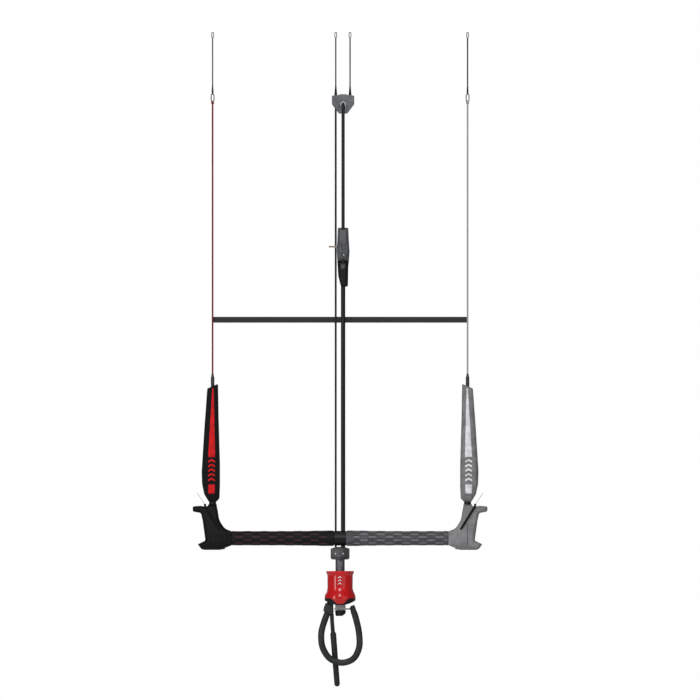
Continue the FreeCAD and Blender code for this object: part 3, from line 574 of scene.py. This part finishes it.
# ---- flying lines and splices ----
def eye(name, x, low, high, half_width, wire_r, body, replaces):
    """Closed loop of line standing on its splice."""
    bend = half_width - wire_r
    bottom, top = low + half_width, high - half_width
    line = [Vector((x - bend, 0, bottom)), Vector((x - bend, 0, (bottom + top) / 2))]
    line += [Vector((x - bend * math.cos(a), 0, top + bend * math.sin(a)))
             for a in (math.pi * i / 14 for i in range(15))]
    line += [Vector((x + bend, 0, (bottom + top) / 2))]
    line += [Vector((x + bend * math.cos(a), 0, bottom - bend * math.sin(a)))
             for a in (math.pi * i / 14 for i in range(14))]
    return tube(name, line, 10, plain(wire_r), "splice", body, replaces, closed=True)


def splice(name, x, top, bottom, thick_r, body, replaces):
    """Tapered braided cover that thickens towards its lower end."""
    line = even_line([Vector((x, 0, bottom)), Vector((x, 0, top))], 0.35)
    full, even_part, thin_r = top - bottom, 5, 1.1

    def taper(s):
        return 1.0 if s < even_part else 1 - (1 - thin_r / thick_r) * (s - even_part) / (full - even_part)

    return tube(name, line, 24, braid(thick_r, 8, 9.0, 0.09, taper), "splice", body, replaces)


def flying_line(name, x, low, body, material, nodes):
    """Lower end of one flying line, up to the eye that a stranger's line is tied to."""
    route = [(x, 0, low), (x, 0, low * 0.66), (x, 0, low * 0.36), (x, 0, LINE_EYE_LOW)]
    obj, line = rope(name, route, FLYING_D, 8, material, body, nodes, 0.03)


def front_lines():
    """The two lines that stand on the block."""
    for name, x in (("left", FRONT_X[0]), ("right", FRONT_X[1])):
        cover = splice(f"front_splice_{name}", x, SPLICE_TOP, BLOCK_TOP - 9, 2.8, "kite_side",
                       ["front_splices"])
        loop = eye(f"front_line_eye_{name}", x, LINE_EYE_LOW, 0.0, 2.3, 0.7, "kite_side",
                   ["front_line_ends"])
        flying_line(f"front_line_{name}", x, SPLICE_TOP, "kite_side", "line_black",
                    ["front_lines"])


def back_lines():
    """The two lines over the leaders, each with its cover and the hitch that joins them."""
    for name, x, material, slot in (("left", -LEADER_X, "line_grey", "back_line_grey"),
                                    ("right", LEADER_X, "line_black", "flying_line")):
        body = f"side_{name}"
        cover = splice(f"back_cover_{name}", x, SPLICE_TOP, SPLICE_TOP - 15.4, 1.7, body,
                       [f"back_splice_{name}"])
        loop = eye(f"back_line_eye_{name}", x, LINE_EYE_LOW, 0.0, 2.3, 0.7, body,
                   [f"back_splice_{name}"])
        hitch = eye(f"leader_hitch_{name}", x, SPLICE_TOP - 29.9, SPLICE_TOP - 15.4, 3.4, 0.9, body,
                    [f"back_splice_{name}"])
        flying_line(f"back_line_rope_{name}", x, SPLICE_TOP, body, material, [f"back_line_{name}"])


def leaders():
    """Braided leaders from the floats up to their knots."""
    for name, x in (("left", -LEADER_X), ("right", LEADER_X)):
        body, colour = f"side_{name}", {"left": "leader_red", "right": "leader_grey"}[name]
        low, high = FLOAT_TOP - 2, LEADER_TOP - 3
        knot_line = [Vector((x + r * math.cos(a), r * math.sin(a), LEADER_TOP + rise * a - 1.6))
                     for r, rise, a in ((1.45, 0.17, 2 * math.pi * i / 20) for i in range(51))]
        wraps = tube(f"leader_wraps_{name}", knot_line, 12, braid(1.2, 6, 8, 0.06), colour, body,
                     [f"leader_knot_{name}"])
        core = tube(f"leader_knot_core_{name}", even_line([Vector((x, 0, LEADER_TOP - 3.2)),
                    Vector((x, 0, LEADER_TOP + 2.4))], 0.6), 12, plain(1.3), colour, body)
        route = [(x, 0, low), (x, 0, -500.0), (x, 0, -380.0), (x, 0, -250.0), (x, 0, high)]
        obj, line = rope(f"leader_rope_{name}", route, LEADER_D, 8, colour, body,
                         [f"leader_{name}"], 0.05)


# ---- centre lines ----
def trim_line():
    """Both strands of the trim line over the eyelet, fixed to the kite side."""
    low, high = CLEAT_TOP - 3.6, EYE_Z - 0.1
    x, y = TUBE_X, ROPE_BEND_R
    route = [
        (x, -y, low), (x, -y, -290.0), (x, -y, -220.0), (x, -y, -170.0), (x, -y, high - 14.4), (x, -y, high),
        (x, y, high), (x, y, high - 14.4), (x, y - 0.5, -170.0), (x, y - 1.3, -220.0), (x, y - 2.3, -290.0),
        (x, TRIM_REAR_Y, low),
    ]
    obj, line = rope("trim_rope", route, TRIM_D, 12, "trim_rope", None, ["trim_line"], 0.18)
    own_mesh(obj)
    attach(obj, "kite_side")


def trim_tail():
    """The pulled strand: it runs out of the cleat with the handle, and rests inside the front strand."""
    low, high = HANDLE_TOP - 20.0, CLEAT_BOTTOM + HANDLE_TRAVEL + 6
    x, y = TUBE_X, -ROPE_BEND_R
    route = [(x, y, low), (x, y, -350.0), (x, y, -270.0), (x, y, -215.0), (x, y, high)]
    obj, line = rope("trim_tail_rope", route, TRIM_TAIL_D, 12, "trim_rope", "handle",
                     ["trim_tail"], 0.22)


def flag_line():
    """Safety line beside the trim line, fixed to the kite side."""
    x = FLAG_X
    route = [(x, 0, z) for z in (LINES_LOW, -760.0, -600.0, -430.0, -270.0, FLAG_TOP)]
    obj, line = rope("flag_rope", route, FLAG_D, 8, "flag_rope", None, ["flag_line"], 0.05)
    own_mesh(obj)
    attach(obj, "kite_side")


def depower_line():
    """Smooth sheath over the depower rope."""
    x = TUBE_X
    low, high = LINES_LOW, CLEAT_BOTTOM + 6
    route = [(x, 0, low), (x, 0, -800.0), (x, 0, -660.0), (x, 0, -520.0), (x, 0, high)]
    line = even_line(nurbs_line(route), 4.0)
    obj = tube("depower_tube", line, 40, plain(SHEATH_D / 2), "sheath", "centre_line",
               ["depower_sheath", "depower_core"])


# ---- bar ----
def line_slot():
    """Closed wedge-shaped space, in millimetres, that both lines need while the bar tilts."""
    reach, half, waist = 16.0, 4.4, 9.7
    mouth = waist + reach * math.tan(TILT) + 0.3
    ring = [(-mouth, reach), (mouth, reach), (waist, 0), (mouth, -reach), (-mouth, -reach), (-waist, 0)]
    points = [(x, y, BAR_Z + z) for y in (-half, half) for x, z in ring]
    faces = [tuple(range(5, -1, -1)), tuple(range(6, 12))]
    faces += [(k, (k + 1) % 6, (k + 1) % 6 + 6, k + 6) for k in range(6)]
    return points, faces


def cut_away(obj, shape):
    """Cuts a closed shape out of a piece."""
    points, faces = shape
    mesh = bpy.data.meshes.new("cutter")
    mesh.from_pydata([Vector(p) * MM for p in points], [], faces)
    cutter = bpy.data.objects.new("cutter", mesh)
    bpy.context.collection.objects.link(cutter)
    cut = obj.modifiers.new("cut", "BOOLEAN")
    cut.operation, cut.solver, cut.object = "DIFFERENCE", "EXACT", cutter
    bpy.context.view_layer.update()
    made = bpy.data.meshes.new_from_object(obj.evaluated_get(bpy.context.evaluated_depsgraph_get()))
    obj.modifiers.clear()
    obj.data = made
    bpy.data.objects.remove(cutter)


def grip(name, side, material):
    """Grip with rows of embossed dashes, thickening to a rounded nose at the hub."""
    steps, sides = 400, 112
    nose, socket = 9.9, 32.0
    rows, row_turn, first = 14, 2 * math.pi / 14, math.radians(35.0)
    pitch, dash_length, dash_half, dash_rise = 29.6, 15.2, 1.35, 0.28
    start = 200.5 if side < 0 else 198.0

    def outer(x):
        """Radius over the dashes."""
        if x < nose + 1.6:
            return HUB_R - 1.4 + 1.4 * math.sin(math.pi / 2 * (x - nose) / 1.6)
        if x < 20:
            return HUB_R
        if x < 55:
            return HUB_R + (GRIP_R + 0.4 - HUB_R) * (x - 20) / 35
        if x < 110:
            return GRIP_R + 0.4 * (110 - x) / 55
        return GRIP_R

    def mark(x, angle):
        """0 off a dash, 1 on it, with soft ends."""
        row = round((angle - first) / row_turn)
        across = abs(angle - first - row * row_turn) * GRIP_R
        shift = pitch / 2 if row % 2 else 0.0
        along = abs((start - x - shift - dash_length / 2 + pitch / 2) % pitch - pitch / 2)
        end = (dash_length / 2 - along) / 1.6
        lens = dash_half * (1 - 0.35 * (along / (dash_length / 2)) ** 2) if along < dash_length / 2 else 0.0
        return max(0.0, min(1.0, end, (lens - across) / 0.45))

    even = [nose + (GRIP_END - nose) * (i / steps) for i in range(steps + 1)]
    outside = [nose + 0.2 * i for i in range(9)] + [x for x in even if x > nose + 1.8]
    bore = [(nose, 12.0), (socket, 12.0), (socket, 9.5), (GRIP_END, 9.5)]
    points, marks = [], []
    for x, bore_r in [(x, None) for x in outside] + bore[::-1]:
        dashed = bore_r is None and 24 < x < GRIP_END - 2
        for k in range(sides):
            angle = 2 * math.pi * k / sides - math.pi
            dash = mark(x, angle) if dashed else 0.0
            radius = bore_r or outer(x) - dash_rise + dash_rise * dash
            points.append((side * x, -radius * math.cos(angle), BAR_Z + radius * math.sin(angle)))
            marks.append(dash)
    count = len(points) // sides
    faces = []
    for i in range(count):
        a, b = i * sides, (i + 1) % count * sides
        ring = [(a + k, a + (k + 1) % sides, b + (k + 1) % sides, b + k) for k in range(sides)]
        faces += ring if side < 0 else [face[::-1] for face in ring]
    obj = new_object(name, points, faces, material, "bar", [name.replace("_foam", "")])
    set_attribute(obj, "dash", marks)
    cut_away(obj, line_slot())


def keeper(name, side):
    """Elastic line keeper over the front of the bar end, with its bead and thin tail."""
    z = BAR_Z
    route = [(212.8, -10.4, z + 15.6), (213.0, -16.2, z + 15.9), (225.4, -14.4, z + 36.0),
             (236.6, -12.4, z + 53.6), (238.6, -7.8, z + 57.6)]
    obj, line = rope(f"keeper_{name}", [(side * x, y, h) for x, y, h in route], KEEPER_D, 8, "elastic",
                     "bar", ["keepers"], 0.1)
    bead_r = 2.3
    bead_profile = [(bead_r * math.sin(a), bead_r * math.cos(a) + z + 58.7) for a in
                    (math.radians(3 + 174 * i / 16) for i in range(17))]
    bead = turned_piece(f"keeper_bead_{name}", bead_profile, 24, "black", "bar")
    bead.data.transform(Matrix.Translation((side * 0.2384, -0.0068, 0)))
    tail_ends = [Vector((side * 239.2, -6.8, z + 60.2)), Vector((side * 252.5, -6.8, z + 80.3))]
    tail_line = even_line(tail_ends, 1.0)
    tail = tube(f"keeper_tail_{name}", tail_line, 10, plain(0.4), "whisker", "bar")


# ---- raised prints and marks ----
def decal(name, surface, place, columns, rows, material, body, face, raised=0.35):
    """Raised print or mark: place(u, v) gives x and z, and the depth is read off the skin below it."""
    sunk = 0.6
    top, bottom = [], []
    for j in range(rows + 1):
        for i in range(columns + 1):
            x, z = place(i / columns, j / rows)
            start = Vector((x, face * RAY_START, z)) * MM
            hit = surface.ray_cast(start, Vector((0, -face, 0)))[0]
            depth = hit.y / MM
            top.append((x, depth + face * raised, z))
            bottom.append((x, depth - face * sunk, z))
    wide, half = columns + 1, len(top)
    cells = [(j * wide + i, j * wide + i + 1, (j + 1) * wide + i + 1, (j + 1) * wide + i)
             for j in range(rows) for i in range(columns)]
    border = list(range(wide)) + [(j + 1) * wide - 1 for j in range(1, rows)]
    border += [rows * wide + i for i in range(wide - 1, -1, -1)]
    border += [j * wide for j in range(rows - 1, 0, -1)]
    faces = cells + [tuple(k + half for k in quad[::-1]) for quad in cells]
    faces += [(b, a, a + half, b + half) for a, b in zip(border, border[1:] + border[:1])]
    obj = new_object(name, top + bottom, faces, material, body)
    for index, polygon in enumerate(obj.data.polygons):
        polygon.use_smooth = index < len(cells)
    return obj


def patch(side, z_high, z_low, wide_high, wide_low, rise=0.0):
    """Strip between two heights; rise bends it into a chevron."""
    (a0, a1), (b0, b1) = wide_high, wide_low

    def place(u, v):
        inner, outer = a0 + (b0 - a0) * v, a1 + (b1 - a1) * v
        x = inner + (outer - inner) * u
        z = z_high + (z_low - z_high) * v + rise * (1 - abs(2 * u - 1))
        return side * x, z
    return place


# ---- floats, spring and sleeve ----
def spring():
    """The release's coil, carried over from its CAD node in brushed steel."""
    coil = bpy.data.objects.new("release_coil", NODES["release_spring"].data.copy())
    bpy.context.collection.objects.link(coil)
    coil.data.materials.clear()
    coil.data.materials.append(M["steel"].material)
    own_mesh(coil)
    tie(coil, "release", ["release_spring"])


def push_sleeve():
    """Glossy push sleeve with three small chevrons on its front."""
    surface = skin_of(soft_copy("release_sleeve", "push_sleeve", "sleeve", "red", 0.5, 10))
    for k in range(3):
        high = -962.5 - 5.6 * k
        decal(f"sleeve_chevron_{k}", surface, patch(1, high, high - 1.9, (-3.6, 2.4), (-3.6, 2.4), 2.0), 6, 2,
              "print_pale", "sleeve", -1)


def floats():
    """Foam floats with a tapering stripe, a generic chevron mark and a block on both faces."""
    for name, side, foam_name, print_name, slot in (
            ("left", -1, "float_black", "print_red", "float_black"),
            ("right", 1, "float_grey", "print_pale", "float_grey")):
        body = f"side_{name}"
        obj = soft_copy(f"float_{name}", f"float_foam_{name}", body, foam_name, 1.0, 3)
        pillow(obj, 7.0, 0.45)
        bpy.context.view_layer.update()
        surface = skin_of(obj)
        for face, tag in ((-1, "front"), (1, "back")):
            stripe = patch(side, -629.0, -750.3, (223.2, 225.6), (220.4, 233.1))
            decal(f"float_stripe_{tag}_{name}", surface, stripe, 8, 60, print_name, body, face)
            block = patch(side, -798.5, -814.7, (221.0, 232.9), (221.2, 232.8))
            decal(f"float_block_{tag}_{name}", surface, block, 8, 8, print_name, body, face)
            for k in range(5):
                high = -757.0 - 8.2 * k
                chevron = patch(side, high, high - 3.6, (220.8, 233.0), (220.8, 233.0), 3.4)
                decal(f"float_chevron_{k}_{tag}_{name}", surface, chevron, 10, 3, print_name, body,
                      face)


# ---- bar ends, cleat and handle ----
def bar_end(name, side, looks, seam_shade):
    """Rounded moulding with a thin dark strip of painted shade along its parting line on both faces."""
    node = f"bar_end_{name}"
    obj = soft_copy(node, f"bar_end_moulding_{name}", "bar", looks, 0.6, 3)
    pillow(obj, 6.0, 0.4, GRIP_END + 6)
    surface = skin_of(obj)
    high, low = BAR_Z + 27, BAR_Z - 14
    line = (LEADER_X - 0.4, LEADER_X + 0.4)
    # painted shade: a thin dark strip stands on the parting line, where its groove would hold shade
    for face, tag in ((-1, "front"), (1, "back")):
        decal(f"bar_end_seam_{tag}_{name}", surface, patch(side, high, low, line, line), 2, 30, seam_shade,
              "bar", face, 0.05)


def cleat_and_handle():
    """Cleat housing over its rubber handle; their meeting edges are drawn together."""
    cleat = soft_copy("cleat_body", "cleat_shell", "centre_line", "cleat", 0.45, 2,
                      lambda p: p - Vector((0, 0, 0.5)) if p.z < CLEAT_BOTTOM + 1.5 else p)
    handle = soft_copy("trim_handle", "trim_handle_rubber", "handle", "handle", 0.5, 2,
                       lambda p: p + Vector((0, 0, 0.5)) if p.z > HANDLE_TOP - 1.5 else p)
    pillow(cleat, 6.5, 0.5)
    surface = skin_of(cleat)
    # painted shade: dark strips stand in the cleat's two slots, where only shade falls
    for k, middle in enumerate((TUBE_X - 2.2, TUBE_X + 3.0)):
        slot = (middle - 1.0, middle + 1.0)
        decal(f"cleat_slot_shade_{k}", surface, patch(1, -374.5, -384.5, slot, slot), 4, 12, "black", "centre_line",
              -1, 0.3)
    # painted shade: the hole is a dark spot; the rivet beside it is drawn in bright metal
    for name, middle, high, looks in (("hole_shade", TUBE_X - 1.9, -390.8, "black"),
                                      ("rivet", TUBE_X + 1.1, -392.6, "bright")):
        spot = (middle - 0.9, middle + 0.9)
        decal(f"cleat_{name}", surface, patch(1, high, high - 1.8, spot, spot), 4, 4, looks, "centre_line",
              -1, 0.1)
    pillow(handle, 6.5, 0.6)


# ---- strap ----
def strap():
    """Woven strap with rolled edges, bowed behind the centre."""
    half, thick = 5.2, 0.7
    stations = [-226.0 + 452.0 * i / 226 for i in range(227)]

    def depth(x):
        reach = abs(x)
        if reach < 70:
            return 12.0
        t = (reach - 70) / 155
        return 12.0 - 9.4 * min(t, 1.0)

    across = [(-1.0, 0.62), (-0.94, 1.0), (-0.82, 0.8), (-0.4, 0.84), (0.0, 0.86), (0.4, 0.84), (0.82, 0.8),
              (0.94, 1.0), (1.0, 0.62)]
    points = []
    for x in stations:
        for v, t in across:
            points.append((x, depth(x) - thick * t, STRAP_Z + half * v))
        for v, t in across[::-1]:
            points.append((x, depth(x) + thick * t, STRAP_Z + half * v))
    wide = len(across) * 2
    faces = []
    for i in range(len(stations) - 1):
        a, b = i * wide, (i + 1) * wide
        faces += [(a + k, b + k, b + (k + 1) % wide, a + (k + 1) % wide) for k in range(wide)]
    faces.append(tuple(range(wide)))
    faces.append(tuple(range((len(stations) - 1) * wide, len(stations) * wide))[::-1])
    obj = new_object("strap_webbing", points, faces, "strap", "strap", ["cross_strap"])


# ---- release, swivel and loop ----
def barrel():
    """Swivel barrel with a fine knurl between its chamfers."""
    r, foot, dome = BARREL_R, 4.2, BARREL_DOME_R
    rim = BARREL_TOP - (dome - math.sqrt(dome**2 - r**2))
    cap = [(dome * math.sin(a), BARREL_TOP - dome + dome * math.cos(a))
           for a in (math.asin(r / dome) * i / 12 for i in range(1, 12))]
    profile = cap + [(r - 0.7, rim + 0.2), (r - 0.15, rim - 0.2), (r, rim - 0.9)]
    profile += [(r, rim - 1.2 - 0.5 * i) for i in range(29)]
    base, bearing_r, bearing_top = BARREL_BOTTOM, 12.5, -916.0
    profile += [(r, base + foot), (r - 0.3, base + 2.6), (r - foot * 0.3, base + 1.26),
                (r - 2.6, base + 0.3), (r - foot, base), (bearing_r, base), (bearing_r, bearing_top)]
    low, high = BARREL_BOTTOM + 5.4, rim - 2.4

    def knurl(radius, z, angle):
        if radius < r - 0.01 or not low < z < high:
            return 0.0
        u, v = 26 * angle / math.pi, (z - low) / 1.9
        one_way = 0.5 - 0.5 * math.cos(math.pi * (u + v))
        other_way = 0.5 - 0.5 * math.cos(math.pi * (u - v))
        return -0.32 * one_way * other_way

    turned_piece("barrel_shell", profile, 208, "barrel", "centre_line", ["swivel_barrel"],
                 knurl)


# ---- carried-over CAD nodes ----
CARRIED = {
    "block": ["block_front_shell", "block_rear_shell"],
    "bright": ["block_eyelet", "bearing_balls"],
    "saddle": ["pin_saddle"],
    "cleat": ["cleat_wedge"],
    "pin": ["cleat_side_pin"],
    "steel": ["block_pins", "cleat_screws", "swivel_race", "barrel_screws", "bar_end_screws", "loop_pin",
              "release_pin"],
    "black": ["line_guide", "hub_front_shell", "hub_rear_shell", "tube_plugs", "neck_bead_left",
              "neck_bead_right", "release_core", "core_plug"],
    "alloy": ["bar_tubes"],
    "ferrule": ["ferrule_left", "ferrule_right"],
    "stem": ["swivel_shaft", "loop_root"],
    "lip": ["sleeve_lip"],
}


def carried():
    """CAD nodes that stay as they are, each with its own material."""
    for material, nodes in CARRIED.items():
        for node in nodes:
            mesh = NODES[node].data
            mesh.materials.clear()
            mesh.materials.append(M[material].material)


add_camera()
add_world()
for lamp, settings in LIGHTS.items():
    add_light(lamp, *settings)

front_lines()
back_lines()
leaders()
trim_line()
trim_tail()
flag_line()
depower_line()
grip("grip_left_foam", -1, "grip_black")
grip("grip_right_foam", 1, "grip_grey")
bar_end("left", -1, "end_black", "black")
bar_end("right", 1, "end_grey", "seam_shade")
keeper("left", -1)
keeper("right", 1)
floats()
strap()
barrel()
cleat_and_handle()
soft_copy("loop_boot", "loop_boot_rubber", "loop", "boot", 0.5, 8)
soft_copy("harness_loop", "harness_loop_tube", "loop", "loop", 0.7, 8)
soft_copy("hook_stick", "hook_stick_rubber", "stick", "stick", 0.6, 8)
carried()
spring()
push_sleeve()

add_floor()

view = bpy.context.scene.view_settings
view.view_transform = "Standard"
view.look = "None"
